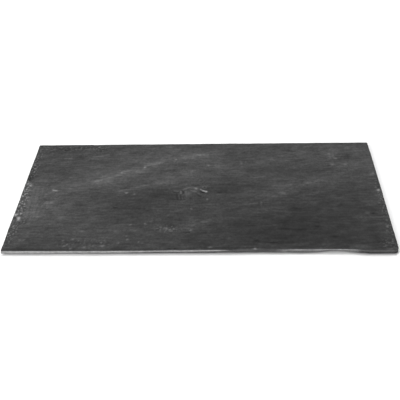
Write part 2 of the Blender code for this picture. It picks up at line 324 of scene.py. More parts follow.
# Patches: as broad areas
PATCHES = (
    ((-142, 73), (5, 5), -0.42), ((-142, 74.5), (2, 2), 0.36), ((-165, 87), (3, 1.3), -0.35),
    ((-160, 41), (4, 3), -0.16), ((-170, -13), (4.6, 2.6), -0.42), ((-150, -20), (2.6, 1.8), -0.3),
    ((-144, -4), (4, 2.2), -0.2, 20), ((-130, -23.5), (3.4, 1.5), -0.42),
    ((-135, -27), (3.4, 1.2), -0.28), ((-92, -27.5), (2.2, 1.1), -0.42),
    ((-100, -10), (7, 5), -0.12), ((-96, 11), (7, 1.8), -0.3, 10), ((-165, -20), (5.4, 3.6), 0.52),
    ((-156, -31), (3.4, 2.4), 0.52), ((-173.5, -43), (2.4, 1.2), 0.6),
    ((-148, -44), (1.6, 2.8), 0.36), ((-164, -64), (1.8, 3), 0.22), ((-178, -69), (1.8, 3.6), 0.26),
    ((-183, -56), (3.4, 1.2), 0.3, 20), ((-121, -68), (3.6, 1.5), 0.95),
    ((-172, -43), (2.6, 1.2), 0.7), ((-197, -60), (1.8, 1.3), 0.8), ((-182, -34), (6, 2.4), -0.34),
    ((-147, -44), (1.8, 3.4), 0.36, -20), ((-146, -74), (6, 1.2), -0.3),
    ((-165, -19), (8, 2.4), 0.26, 10), ((-155, -29), (4, 4), 0.22), ((-129, -68), (1.4, 1.2), 0.36),
    ((-105, 29), (3.4, 2.2), 0.7, 10), ((-120, 22), (5, 3), 0.3, 15),
    ((-131, 18), (3, 1.8), 0.36, 10), ((-92, 38.5), (1.5, 2.4), 0.85), ((-87.5, 38), (1.1, 2), 0.5),
    ((-92, 26), (1.1, 1.9), 0.75), ((-85, 33), (1, 1.8), 0.4), ((-30, 65.3), (1.6, 1.5), 1),
    ((-35, 69), (3.4, 2.4), 0.24), ((-11, 69), (2.2, 2.2), 0.42), ((-8, 75), (4.6, 3), 0.3),
    ((9, 52), (1.9, 2.6), 0.52), ((22, 51), (4.6, 2.4), 0.18), ((23, 42), (4, 2.6), 0.22),
    ((-11, 39), (2.6, 2.4), 0.36), ((-14, 32), (3, 1.8), 0.26), ((-32, 17), (2, 1.2), 0.7),
    ((-50, 25), (2.2, 1.5), 0.22), ((46.5, 58), (1.5, 3.4), 0.72), ((51.5, 57), (1.5, 3), 0.56),
    ((43.5, 79), (1.5, 1.4), 0.4), ((50, 79), (3.6, 1.8), -0.28), ((51, 37), (2.2, 2), 0.28),
    ((157.4, 65.3), (1.8, 2), 0.95), ((152, 53.6), (2.8, 2.2), 0.78),
    ((148, 50.4), (2.2, 1.5), -0.6), ((167, 54), (2.4, 4.4), 0.85), ((174, 60), (3.6, 2), 0.26),
    ((178, 52), (4.6, 3), 0.22), ((171, 68), (5, 7.5), -0.5), ((173, 88), (3.4, 2.8), 0.56),
    ((183, 90), (2.8, 6.5), 0.28), ((192.5, 88), (1.6, 5.5), -0.24), ((104, 90), (2.4, 4), -0.2),
    ((101, 13), (2.2, 1.2), 0.6), ((101, 6), (1.8, 1.5), 0.46), ((82, 10.5), (1.5, 1.3), 0.34),
    ((87, 7), (1.5, 1.2), 0.3), ((137, 18), (3.6, 1.8), -0.22), ((127, 7), (2.6, 2), -0.3),
    ((119, 4), (3, 1.6), -0.26), ((155, 7), (4.6, 2.2), -0.22), ((101, -30.5), (3, 1.3), -0.42),
    ((127, -31.5), (3.2, 1.2), -0.38), ((140, -32), (3, 4), -0.18),
    ((152, -25), (4.6, 2.2), -0.26, 25), ((183, -40), (2.6, 1.4), -0.55),
    ((177, -38), (2.6, 1.2), 0.22), ((185, -58), (6, 1.4), 0.2, 10), ((122, -54), (4, 3), -0.22),
    ((123, -61), (2.6, 1.6), -0.52), ((139, -78), (3, 1.8), -0.3), ((58.5, -84), (1.5, 1.2), -0.55),
    ((31, -80), (2, 1.7), 0.55), ((13, -95.6), (2.8, 1.2), 0.85), ((127, -89.5), (2.6, 2.4), 0.4),
    ((131, -86), (2, 1.4), 0.26), ((165, -92.5), (10, 3), 0.16), ((190, -90), (6, 4), 0.24),
    ((66.5, -22), (1.1, 4), 0.46), ((64, -21), (0.9, 3), -0.35), ((-10, -64), (6, 3.6), 0.4),
    ((-98, -91.5), (3.4, 1.7), 0.8, 10), ((-106, -91), (2, 1.8), 0.46),
    ((-35, -90), (1.8, 2.2), -0.22), ((-60, -30), (1.8, 1), -0.26), ((50, 31), (6, 4), 0.22),
    ((22, 50), (8, 4), 0.12), ((-8, 75), (5, 2.4), 0.24), ((-10, 69), (2.2, 2), 0.34),
    ((3, 74.5), (4, 1.6), 0.24), ((51, 78.5), (5, 1.6), -0.24), ((44, 79), (2, 1.8), 0.3),
    ((56.5, 78), (1.1, 3.6), 0.26), ((9, 52), (2.2, 2.6), 0.24), ((30, 79), (10, 3), -0.12),
    ((8, -13.5), (0.9, 2), 0.56), ((-9, -30.5), (0.8, 2), 0.46), ((66.5, -23), (1.2, 3.4), 0.42),
    ((57, -22), (6, 2), 0.24, 10), ((8, -52), (5, 2), 0.16, 20), ((-95, -67.5), (12, 1.8), 0.22),
    ((-72, -67), (10, 2.2), 0.14), ((-105, -43), (8, 2), 0.24), ((-34, -62), (0.9, 3.4), 0.4),
    ((-39, -61), (0.8, 3), 0.24), ((-12, -70.5), (6, 0.9), -0.44), ((-106, 23), (9, 8), 0.12),
    ((-111, 60), (9, 6), -0.14), ((-138, 57), (12, 6), 0.14), ((-92, -27.5), (2, 1), -0.2),
    ((-76, -30), (1.8, 1), -0.2), ((-44, -28), (1.8, 1), -0.3), ((-150, 88), (22, 8), -0.3),
    ((-165, 87), (3.6, 1.6), -0.32), ((-182, 86), (5, 1.6), -0.18, -20), ((-110, 24), (9, 7), 0.24),
    ((-187, 62.5), (7, 1.6), 0.26, 25), ((-197, 29), (2.6, 6), -0.6), ((-170, -13), (5, 2.4), -0.4),
    ((-129, -23), (3, 1.4), -0.2), ((-29, -97.5), (1.4, 1), -0.6), ((-23, -97.5), (1.2, 1), -0.5),
    ((-30, 72), (26, 10), 0.14), ((104, 84), (3, 5), -0.16), ((110, 81), (6, 2), -0.12),
    ((178, 56), (8, 5), 0.22), ((183, 88), (3, 8), 0.22), ((120, 16), (3.5, 3), 0.36),
    ((85, 10), (4, 4), 0.3), ((194, 33), (3.5, 3.5), 0.6), ((173, 72), (3, 8), -0.24),
    ((60, -84), (2, 1.3), -0.34), ((76, -87), (4.2, 1.2), -0.46), ((90, -65), (5, 1.8), -0.12),
    ((105, -66), (5, 1.6), -0.12), ((139, -78), (3.4, 1.8), -0.12), ((184, -40), (3, 2), -0.4),
    ((178, -39.5), (4, 2), 0.26), ((103, -31), (5, 0.8), -0.14), ((127, -31), (3, 0.8), -0.16),
)
# Small pale specks: centre, radius, strength
SPECKS = (
    ((-164.4, 4.6), 1.4, 0.95), ((-162, 4.4), 1.2, 0.9), ((-166, 7), 1, 0.34),
    ((-160.5, 3), 0.9, 0.3), ((-197, 18), 1.6, 0.95), ((-193.5, 14.5), 1.6, 1),
    ((-196, 11), 1.3, 0.62), ((-192.5, 17), 1, 0.46), ((-198.6, 6), 1, 0.46),
    ((-193, 5), 1.1, 0.36), ((-191, -8), 1.2, 0.4), ((-192, -21), 1.4, 0.46),
    ((-198.8, -25), 1.1, 0.6), ((-198.6, -39.5), 1.9, 1.3), ((-192.5, -37), 1.2, 0.95),
    ((-193.6, -45), 1.9, 1.3), ((-193.2, -47.5), 1.7, 1.15), ((-196, -58), 1.2, 0.6),
    ((-189, -39), 1.1, 0.36), ((-187, -42), 1, 0.3), ((-184, -82), 1.2, 0.26),
    ((-180, -82), 1.2, 0.26), ((-129, -81), 1.1, 0.42), ((-122.5, -83), 1, 0.34),
    ((-139, -83), 1, 0.36), ((-136, -91.5), 1.1, 0.36), ((-133.5, -89), 1, 0.34),
    ((-129, -96.6), 1.1, 0.36), ((-115, -94), 1.1, 0.28), ((-97, -92.5), 1.1, 0.55),
    ((-99, -86), 1, 0.34), ((-125, 95), 1.3, 0.45), ((-82, -0.4), 1.3, 0.55),
    ((-73, -3), 1.1, 0.42), ((-72, -57.5), 1.2, 0.48), ((-57, -56), 1.1, 0.42),
    ((-51, -52), 1, 0.28), ((-40, -62), 1.1, 0.3), ((-36, -63), 1, 0.32), ((-33.6, -64), 1.2, 0.42),
    ((-30, -66), 1, 0.36), ((-26, -64.5), 1.1, 0.38), ((-28, -68), 1.1, 0.4),
    ((-73, -81.5), 1.1, 0.34), ((-74, -76), 1, 0.26), ((-81, -87), 1.2, 0.28),
    ((-61, -86), 1, 0.28), ((-57, -87), 1, 0.26), ((-9, -30), 1, 0.34), ((-8, -67), 1.1, 0.34),
    ((-30, 65), 1, 0.45), ((57, -99.2), 1.5, 0.7), ((196, 33.5), 1.6, 0.4), ((193, 31), 1.2, 0.3),
    ((197, 36), 1, 0.3), ((197, 1.6), 1.7, 0.95), ((194.6, 7), 1.1, 0.4), ((195, -62), 1.2, 0.42),
    ((193.6, -69), 1, 0.34), ((196.6, -14), 1, 0.34), ((193, -22), 0.9, 0.26),
    ((157.4, 65), 1.1, 0.34), ((152, 52.5), 1, 0.3), ((150.6, 75.5), 1, 0.26), ((8, 52.4), 1, 0.22),
    ((192, -88), 1, 0.3), ((196, -86), 1.1, 0.34), ((188, -93), 1, 0.26), ((-92, 39.5), 1, 0.4),
    ((-66, 49), 1.1, 0.5), ((-105, 30), 1.1, 0.3), ((-49, 58), 1.1, 0.3), ((12, -95.6), 1.1, 0.28),
)
# Speckled areas: centre, half-lengths, how thickly
SPECKLED = (
    ((-196, -12), (6, 34), 1), ((-196, -66), (5, 18), 0.6), ((-188, -50), (10, 8), 0.35),
    ((-172, -20), (20, 26), 0.16), ((-120, -88), (30, 9), 0.12), ((197, -30), (3, 60), 0.32),
    ((192, -90), (9, 8), 0.26), ((-34, -64), (12, 6), 0.25), ((-196, 60), (4, 34), 0.55),
    ((-168, 92), (34, 6), 0.32), ((-124, 90), (8, 7), 0.45),
)

# A brushed band, in mm: centre, half-lengths
BRUSHED = ((-183, -20), (7, 26))
WIDE_STREAK = 2  # in mm: wider ones break up into dashes
MARK_RELIEF = 0.05 * MM
SPECK_SCUFF = 0.45
SPECKLE_SCUFF = 0.38
SPECKLE_DARK = 0.48
DARKEST_TONE = 0.15

# The knot, in mm: a mineral eye that the layers of the slate run around. Lines: points along them,
# half-width, strength. Spots: as broad areas
KNOT_PALE_LINES = (
    (((-18, 4.6), (-15.5, 7.4), (-12.5, 8.7), (-8, 8), (-5, 6.6)), 1.5, 0.62),
    (((-10.4, 3.4), (-8.4, 1.8), (-5, 1.4)), 0.8, 0.75), (((-20, 15), (-15, 15)), 0.8, 0.35),
    (((-28.7, 2), (-24.6, 1.8)), 0.8, 0.95), (((-39.5, 1.8), (-36.5, 1.8)), 0.8, 0.5),
    (((-21.8, 1.4), (-21.2, -2.6)), 0.9, 1.1), (((-16, 2), (-15.6, -4), (-14.8, -9.5)), 0.8, 0.5),
    (((-23.2, -5), (-22.4, -12)), 0.6, 0.3), (((-19.6, -6), (-18.8, -13)), 0.6, 0.3),
    (((-1.5, -2.6), (0.2, -4.2), (2.8, -3.6)), 1, 0.55),
)
KNOT_DARK_LINES = (
    (((-26.2, -2), (-25.4, -8), (-24.2, -14)), 0.9, 0.32),
    (((-22.4, -5), (-21.6, -10), (-20.6, -14)), 0.9, 0.36),
    (((-19.2, -7), (-18.2, -11), (-17.2, -14)), 0.9, 0.32),
    (((-28.7, 0.3), (-23.4, 0.2)), 0.7, 0.5), (((-19, 1.6), (-18.6, -2.2)), 0.9, 0.55),
    (((-10.2, 12.8), (-2.5, 12.8)), 0.8, 0.4), (((0.9, 1), (2.4, -0.4), (4.4, -0.8)), 1.1, 0.62),
    (((-1.5, -7), (1, -8.6)), 1.2, 0.45), (((9, 1), (16, 0.2), (29, -0.8)), 2.2, 0.3),
    (((-12, -0.6), (-6, -1.6), (-3, -4.6)), 0.8, 0.25),
)
KNOT_SPOTS = (
    ((-4.6, 6.2), (1.9, 2.2), 1.35), ((-24, -7), (7, 6), -0.08), ((-17.2, 6.2), (1.6, 1.4), 0.45),
    ((3.4, -0.6), (2.2, 1), -0.45, -20), ((-12.2, -4), (1.8, 2.8), 0.42),
    ((-10.2, -11.6), (1.3, 1.6), -0.45), ((21.2, -0.8), (1.8, 0.9), -0.35),
    ((7.9, -13.4), (0.8, 1.7), 1.1), ((7.5, 12.8), (0.8, 0.8), 0.4),
    ((1.7, 14.2), (0.9, 0.9), -0.3), ((-32, -12), (5, 3), -0.2),
)
KNOT_FLECK = ((0.2, 5.0), (2.8, 2.4), (6.6, 0.6))  # points along it
KNOT_RING = (4.6, 9.2)  # its centre
KNOT_OVAL = (15.0, 9.0)  # half-lengths of the ridge around the knot
KNOT_PALE_RELIEF = 0.07 * MM
KNOT_DARK_RELIEF = 0.16 * MM
KNOT_SPOT_RELIEF = 0.06 * MM
KNOT_OVAL_RELIEF = 0.10 * MM
KNOT_FLECK_RELIEF = 0.12 * MM


def dashes(x, y):
    """Return short flat dashes from 0 to 1, as the layers of slate crop out of a split face."""
    level = noise_at(x, y, 2.6 * MM, 90.0, 3.2) + 0.6 * noise_at(x, y, 5.5 * MM, 92.0, 1.6)
    return smooth((level + 0.10) / 0.5)


def knot_markings(x, y):
    """Return tone, scuff and relief that the knot adds to the top."""
    tone = np.zeros(np.shape(x))
    relief = np.zeros(np.shape(x))
    for path, width, strength in KNOT_PALE_LINES:
        line = strength * stroke(x, y, path, width)
        tone += line
        relief += KNOT_PALE_RELIEF * line
    for path, width, strength in KNOT_DARK_LINES:
        line = strength * stroke(x, y, path, width)
        tone -= line
        relief -= KNOT_DARK_RELIEF * line
    for centre, size, strength, *turn in KNOT_SPOTS:
        mark = spot(x, y, centre, size, *turn)
        tone += strength * mark
        relief += KNOT_SPOT_RELIEF * strength * mark
    off_x, off_y = x - KNOT_RING[0] * MM, y - KNOT_RING[1] * MM
    off_ring = np.hypot(off_x, off_y) / MM
    tone += 0.55 * np.exp(-((off_ring - 2.2) / 0.7) ** 2) - 0.55 * np.exp(-((off_ring / 1.1) ** 2))
    relief -= KNOT_OVAL_RELIEF * np.exp(-((off_ring / 1.3) ** 2))
    fleck = stroke(x, y, KNOT_FLECK[:2], 0.7) * 0.30
    fleck = np.maximum(fleck, stroke(x, y, KNOT_FLECK[1:], 0.9) * 0.5)
    fleck = np.maximum(fleck, spot(x, y, KNOT_FLECK[2], (1.2, 1.2)) * 0.65)
    across = (x - KNOT_CENTRE[0]) / (KNOT_OVAL[0] * MM)
    up = (y - KNOT_CENTRE[1]) / (KNOT_OVAL[1] * MM)
    oval = np.hypot(across, up)
    relief += KNOT_OVAL_RELIEF * np.exp(-(((oval - 1) / 0.22) ** 2)) + KNOT_FLECK_RELIEF * fleck
    return tone, fleck, relief


def top_markings(x, y):
    """Return tone, scuff, brush and relief of the top's markings."""
    tone = np.ones(np.shape(x))
    scuff = np.zeros(np.shape(x))
    relief = np.zeros(np.shape(x))
    broken = dashes(x, y)
    bent_x = x + 1.0 * MM * noise_at(x, y, 1.8 * MM, 120.0)
    bent_y = y + 1.0 * MM * noise_at(x, y, 1.8 * MM, 122.0)
    for centre, size, strength, *turn in BROAD_AREAS:
        tone += strength * spot(x, y, centre, size, *turn)
    for path, width, strength in STREAKS:
        line = stroke(bent_x, bent_y, path, width)
        tone += strength * line * (0.25 + 1.05 * broken if width > WIDE_STREAK else 1)
        relief += MARK_RELIEF * line * strength * min(width, 3)
    for centre, size, strength, *turn in PATCHES:
        patch = spot(bent_x, bent_y, centre, size, *turn)
        tone += strength * patch * (0.75 + 0.4 * broken)
        relief += MARK_RELIEF * strength * patch
    for centre, radius, strength in SPECKS:
        speck = spot(bent_x, bent_y, centre, (radius, radius))
        scuff = np.maximum(scuff, SPECK_SCUFF * strength * speck)
    crumbs = noise_at(x, y, 1.7 * MM, 124.0) + 0.5 * noise_at(x, y, 3.1 * MM, 126.0)
    for centre, size, thickly in SPECKLED:
        area = np.minimum(1.6 * spot(x, y, centre, size), 1)
        pale = SPECKLE_SCUFF * thickly * area * smooth((crumbs - 0.18) / 0.3)
        scuff = np.maximum(scuff, pale)
        tone -= SPECKLE_DARK * thickly * area * smooth((-crumbs - 0.05) / 0.3)
    knot_tone, fleck, knot_relief = knot_markings(x, y)
    tone += knot_tone
    scuff = np.maximum(scuff, fleck)
    return tone, scuff, spot(x, y, *BRUSHED), relief + knot_relief


def mottle(x, y):
    """Return the stone's own uneven tone around 1, from broad clouds down to small scales."""
    along, across = turned(x, y, 20)
    clouds = noise_at(along, across, 30 * MM, 100.0, 1.8)
    patches = noise_at(along, across, 12 * MM, 102.0, 2.0)
    scales = noise_at(along, across, 5.5 * MM, 104.0, 1.8)
    crumbs = noise_at(x, y, 2.8 * MM, 106.0, 1.3)
    striped = smooth((x - 20 * MM) / (60 * MM)) * smooth((10 * MM - y) / (50 * MM))
    stripes = noise_at(x, y, 3.2 * MM, 108.0, 6.0)
    tone = 0.16 * clouds + 0.24 * patches + 0.24 * scales + 0.13 * crumbs
    tone += (0.12 + 0.26 * striped) * stripes
    return np.exp(tone)


def grid_lines(half, fine_zones):
    """Place an even number of steps from -half to half, shorter in the fine zones."""
    place = np.linspace(-half, half, 4001)
    spacing = np.full(place.shape, GRID_SPACING)
    for centre, reach, step in fine_zones:
        away = np.clip((np.abs(place - centre) - reach) / reach, 0, 1)
        spacing = np.minimum(spacing, step + (GRID_SPACING - step) * away)
    density = 1 / spacing
    steps_to = np.concatenate(((0,), np.cumsum((density[1:] + density[:-1]) / 2 * np.diff(place))))
    steps = 2 * math.ceil(steps_to[-1] / 2)
    return np.interp(np.linspace(0, steps_to[-1], steps + 1), steps_to, place)


def border(columns, rows):
    """List a grid's border vertices anticlockwise from the front left corner."""
    index = np.arange(columns * rows).reshape(rows, columns)
    return np.concatenate((index[0, :-1], index[:-1, -1], index[-1, :0:-1], index[:0:-1, 0]))


def grid_quads(columns, rows, first, facing_up):
    """List the faces of a grid of vertices that starts at a first index."""
    index = first + np.arange(columns * rows).reshape(rows, columns)
    here, right = index[:-1, :-1], index[:-1, 1:]
    over, across = index[1:, :-1], index[1:, 1:]
    order = (here, right, across, over) if facing_up else (here, over, across, right)
    return np.stack([part.ravel() for part in order], axis=1)


def top_surface(x, y):
    """Return places and looks of the top face's vertices."""
    side_insets, end_insets = insets_at(x, y)
    tone, scuff, brush, marks = top_markings(x, y)
    relief = cleft(x, y, 0.0, 0.07 * MM) + marks
    relief -= relief.max()
    place_x, place_y = draw_in(x, y, side_insets[0], end_insets[0])
    tone = np.maximum(tone * mottle(x, y) ** (1 - 0.6 * brush), DARKEST_TONE)
    return np.stack((place_x, place_y, TOP + relief), axis=1), tone, scuff, brush


def underside_surface(x, y):
    """Return places and looks of the underside's vertices. Its relief runs up into the stone."""
    side_insets, end_insets = insets_at(x, y)
    relief = cleft(x, y, 40.0, 0.12 * MM)
    flat = pad_weight(x, y)
    inset_x = side_insets[3] + UNDERSIDE_MARGIN
    inset_y = end_insets[3] + UNDERSIDE_MARGIN
    place_x, place_y = draw_in(x, y, inset_x, inset_y)
    tone = 1 + 0.18 * noise_at(x, y, 70 * MM, 50.0, 1.6)
    return np.stack((place_x, place_y, BOTTOM - relief * (1 - flat)), axis=1), tone


def pad_weight(x, y):
    """Return 1 over the pads, where the underside is flat, and 0 away from them."""
    weight = np.zeros(np.shape(x))
    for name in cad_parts:
        if name.startswith("adhesive_disc"):
            low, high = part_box(name)
            centre = (low + high) / 2
            reach = np.hypot(x - centre.x, y - centre.y) / ((high.x - low.x) / 2)
            weight = np.maximum(weight, 1 - smooth((reach - 1.1) / 0.5))
    return weight


def edge_ring(x, y, ring, rim_height):
    """Return places of one ring of the broken edge, kept below the rim of the top."""
    side_insets, end_insets = insets_at(x, y)
    heights = edge_heights(x, y)
    upper = min(int(ring), 2)
    share = ring - upper
    height = heights[upper] * (1 - share) + heights[upper + 1] * share
    layer = math.floor(ring * SECTION_LAYERS)
    rough = noise_at(x, y, LAYER_PITCH, 11.0 + 2.7 * layer)
    rough = rough + 0.5 * noise_at(x, y, LAYER_ROUGHNESS_PITCH, 31.0 + 2.7 * layer)
    middling = math.sin(math.pi * ring / 3)
    rough *= LAYER_DEPTH * middling
    inset_x, inset_y = (
        np.maximum(insets[upper] * (1 - share) + insets[upper + 1] * share + rough, 0)
        for insets in (side_insets, end_insets)
    )
    height = height + LAYER_WAVE * noise_at(x, y, LAYER_WAVE_PITCH, 60.0 + ring) * middling
    height = np.minimum(height, rim_height - LEAST_RING_DROP * ring)
    place_x, place_y = draw_in(x, y, inset_x, inset_y)
    return np.stack((place_x, place_y, height), axis=1)


def front_paleness_and_shade(x, ring):
    """Return how pale the front break is, from 0 to 1.

    From the left it is pale down to a boundary that rises along it, and dark below that:
    partly the stone's own colour, partly painted shade under the upper layers. Then it is dull,
    mid-grey and darker towards the bottom as painted shade, pale again at the chip, and dark
    right of the step, darkest low down as painted shade.
    """
    wander = 0.10 * noise_at(x, 0 * x, 14 * MM, 70.0)
    boundary = 2.1 - 0.4 * smooth((x + 120 * MM) / (70 * MM))
    boundary = boundary - 0.35 * smooth((x + 40 * MM) / (60 * MM))
    # Below the boundary the break is dark: partly the stone's own colour, partly painted shade
    # under the upper layers
    pale = 1 - smooth((ring - boundary - wander) / 0.3 + 0.5)
    pale = np.maximum(pale * (1 - smooth((x - 14 * MM) / (24 * MM))), 0.14)
    # Mid-grey, darker towards the bottom as painted shade
    middle = 0.52 - 0.30 * smooth((ring - 1.5) / 0.4)
    paleness_and_shade = pale + (middle - pale) * smooth((x - 76 * MM) / (12 * MM))
    paleness_and_shade = paleness_and_shade + 0.5 * hump(x, CHIP_X, CHIP_LENGTH)
    # Right of the step: dark, darker low down as painted shade
    dark = 0.18 * (1 - smooth((ring - 1.15) / 0.3)) + 0.05
    paleness_and_shade = paleness_and_shade + (dark - paleness_and_shade) * smooth((x - STEP_X + 4 * MM) / (8 * MM))
    return np.minimum(paleness_and_shade, 1) * smooth((ring - 0.45) / 0.4)


def edge_paleness_and_shade(x, y, ring):
    """Return how pale the break is on any side, with the front's painted shade."""
    front = smooth((-y - HALF_Y + 4 * MM) / (3 * MM))
    elsewhere = 0.40 + 0.8 * noise_at(x, y, 30 * MM, 80.0 + 0.3 * ring)
    elsewhere = elsewhere + 0.5 * noise_at(x, y, 7 * MM, 85.0 + ring)
    elsewhere = np.clip(elsewhere, 0.03, 0.9) * smooth((ring - 0.45) / 0.4)
    return np.clip(front * front_paleness_and_shade(x, ring) + (1 - front) * elsewhere, 0, 1)


# The slab's mesh

# Where its faces lie in its texture: the top, the underside, then strips for the edge
TOP_PANEL = (0.01, 0.99, 0.505, 0.995)
UNDER_PANEL = (0.01, 0.99, 0.10, 0.49)
EDGE_PANELS = (
    (0.01, 0.99, 0.065), (0.505, 0.99, 0.005), (0.01, 0.99, 0.035), (0.01, 0.495, 0.005),
)
EDGE_PANEL_HEIGHT = 0.025
RING_DEPTH = 1 / (len(EDGE_RINGS) + 1)

# Values at the slab's vertices that its material reads
LOOKS = ("tone", "scuff", "brush", "paleness_and_shade")
BREAK_TONE = 0.9
SLAB_SHARP_DEGREES = 38


def panel_places(x, y, panel):
    """Lay the slab's length and width out over a panel of its texture."""
    left, right, low, high = panel
    across = left + (right - left) * (x + HALF_X) / (2 * HALF_X)
    up = low + (high - low) * (y + HALF_Y) / (2 * HALF_Y)
    return np.stack((across, up), axis=1)


def edge_places(rim_x, rim_y, side, step):
    """Lay each border station, taken a step along, out over the strip that its side has."""
    panels = np.array(EDGE_PANELS)[side]
    along_x = (np.roll(rim_x, -step) + HALF_X) / (2 * HALF_X)
    along_y = (np.roll(rim_y, -step) + HALF_Y) / (2 * HALF_Y)
    along = np.where(side % 2 == 0, along_x, along_y)
    return panels[:, 0] + (panels[:, 1] - panels[:, 0]) * along, panels[:, 2]


def edge_loops(places, depths):
    """Pair texture places along the edge with depths down it, one column of corners at a time."""
    corners = []
    for (across, base), depth in zip(places, depths):
        corners.append(np.stack((across, base + EDGE_PANEL_HEIGHT * (1 - depth)), axis=1))
    return np.stack(corners, axis=1)


class MeshParts:
    """A mesh's vertices with their looks, and its faces with their texture places."""

    def __init__(self):
        self.vertices, self.looks, self.faces, self.loops = [], [], [], []
        self.count = 0

    def add_vertices(self, places, looks):
        """Add vertices, and return the index of the first of them."""
        first = self.count
        self.vertices.append(places)
        self.looks.append(np.stack(looks))
        self.count += len(places)
        return first

    def add_faces(self, faces, texture_places):
        self.faces.extend(faces.tolist())
        self.loops.append(texture_places.reshape(-1, 2))

    def make_mesh(self, name):
        mesh = bpy.data.meshes.new(name)
        mesh.from_pydata(np.concatenate(self.vertices).tolist(), [], self.faces)
        layer = mesh.uv_layers.new(name="OFBake")
        layer.uv.foreach_set("vector", np.concatenate(self.loops).astype(np.float32).ravel())
        for look, values in zip(LOOKS, np.concatenate(self.looks, axis=1)):
            attribute = mesh.attributes.new(look, "FLOAT", "POINT")
            attribute.data.foreach_set("value", np.asarray(values, np.float32))
        return mesh


def slab_lines():
    """Return where the slab's lines lie along X and along Y."""
    columns_at = grid_lines(HALF_X, (
        (-HALF_X, WORN_REACH, EDGE_SPACING),
        (HALF_X, EDGE_REACH, EDGE_SPACING),
        (KNOT_CENTRE[0], KNOT_REACH[0], KNOT_SPACING),
    ))
    rows_at = grid_lines(HALF_Y, (
        (-HALF_Y, EDGE_REACH, EDGE_SPACING),
        (HALF_Y, EDGE_REACH, EDGE_SPACING),
        (KNOT_CENTRE[1], KNOT_REACH[1], KNOT_SPACING),
    ))
    return columns_at, rows_at


def add_top(parts, columns_at, rows_at):
    """Add the top face. Return its border's indices, heights, tone and scuff."""
    x, y = (part.ravel() for part in np.meshgrid(columns_at, rows_at))
    places, tone, scuff, brush = top_surface(x, y)
    parts.add_vertices(places, (tone, scuff, brush, 0 * x))
    quads = grid_quads(len(columns_at), len(rows_at), 0, True)
    parts.add_faces(quads, panel_places(x, y, TOP_PANEL)[quads])
    around = border(len(columns_at), len(rows_at))
    return around, places[around, 2], tone[around], scuff[around]


def add_edge(parts, rim, around, rim_height, tone, scuff):
    """Add the rings of the broken edge below the top's border. Return the last ring's indices."""
    rim_x, rim_y, _ = rim
    here, following = edge_places(*rim, 0), edge_places(*rim, 1)
    above = around
    for count, ring in enumerate(EDGE_RINGS):
        fade = 1 - smooth(ring / 1.2)
        rim_tone = tone * fade + BREAK_TONE * (1 - fade)
        paleness_and_shade = edge_paleness_and_shade(rim_x, rim_y, ring)
        places = edge_ring(rim_x, rim_y, ring, rim_height)
        first = parts.add_vertices(places, (rim_tone, scuff * fade, 0 * paleness_and_shade, paleness_and_shade))
        below = first + np.arange(len(around))
        quads = np.stack((above, below, np.roll(below, -1), np.roll(above, -1)), axis=1)
        high, low = count * RING_DEPTH, (count + 1) * RING_DEPTH
        corners = (here, here, following, following)
        parts.add_faces(quads, edge_loops(corners, (high, low, low, high)))
        above = below
    return above


def add_underside(parts, rim, columns_at, rows_at, ring):
    """Add the underside, half as fine as the top, and the seam between it and the last ring."""
    x, y = (part.ravel() for part in np.meshgrid(columns_at, rows_at))
    places, tone = underside_surface(x, y)
    first = parts.add_vertices(places, (tone, 0 * x, 0 * x, 0 * x))
    quads = grid_quads(len(columns_at), len(rows_at), first, False)
    parts.add_faces(quads, panel_places(x, y, UNDER_PANEL)[quads - first])
    inner = first + border(len(columns_at), len(rows_at))
    outer = (np.roll(ring, -2)[::2], ring[1::2])
    seam = np.stack((ring[::2], inner, np.roll(inner, -1), *outer), axis=1)
    corners = [
        tuple(part[::2] for part in edge_places(*rim, step)) for step in (0, 0, 2, 2, 1)
    ]
    lowest = len(EDGE_RINGS) * RING_DEPTH
    parts.add_faces(seam, edge_loops(corners, (lowest, 1, 1, lowest, lowest)))


def make_slab():
    columns_at, rows_at = slab_lines()
    parts = MeshParts()
    around, rim_height, tone, scuff = add_top(parts, columns_at, rows_at)
    x, y = (part.ravel()[around] for part in np.meshgrid(columns_at, rows_at))
    steps = (len(columns_at) - 1, len(rows_at) - 1)
    rim = (x, y, np.repeat(np.arange(4), steps * 2))
    ring = add_edge(parts, rim, around, rim_height, tone, scuff)
    add_underside(parts, rim, columns_at[::2], rows_at[::2], ring)
    return add_piece(parts.make_mesh("slate_slab"), SLAB_SHARP_DEGREES)


# Pads

PAD_SEGMENTS = 72
PAD_CLEARANCE = 0.02 * MM
PAD_WAVER = 0.04 * MM
PAD_SHARP_DEGREES = 50


def make_disc(name, centre, profile):
    """Turn a profile of (radius, height) points round a vertical axis and close both ends."""
    vertices, faces = [], []
    for row, (radius, height) in enumerate(profile):
        for step in range(PAD_SEGMENTS):
            angle = 2 * math.pi * step / PAD_SEGMENTS
            across, along = math.cos(angle), math.sin(angle)
            spread = radius + PAD_WAVER * noise.noise((across * 3, along * 3, row * 0.7))
            vertices.append((centre.x + spread * across, centre.y + spread * along, height))
    for row in range(len(profile) - 1):
        for step in range(PAD_SEGMENTS):
            following = (step + 1) % PAD_SEGMENTS
            low, high = row * PAD_SEGMENTS, (row + 1) * PAD_SEGMENTS
            faces.append((low + step, low + following, high + following, high + step))
    faces.append(tuple(reversed(range(PAD_SEGMENTS))))
    top_row = (len(profile) - 1) * PAD_SEGMENTS
    faces.append(tuple(top_row + step for step in range(PAD_SEGMENTS)))
    mesh = bpy.data.meshes.new(name)
    mesh.from_pydata(vertices, [], faces)
    return add_piece(mesh, PAD_SHARP_DEGREES)


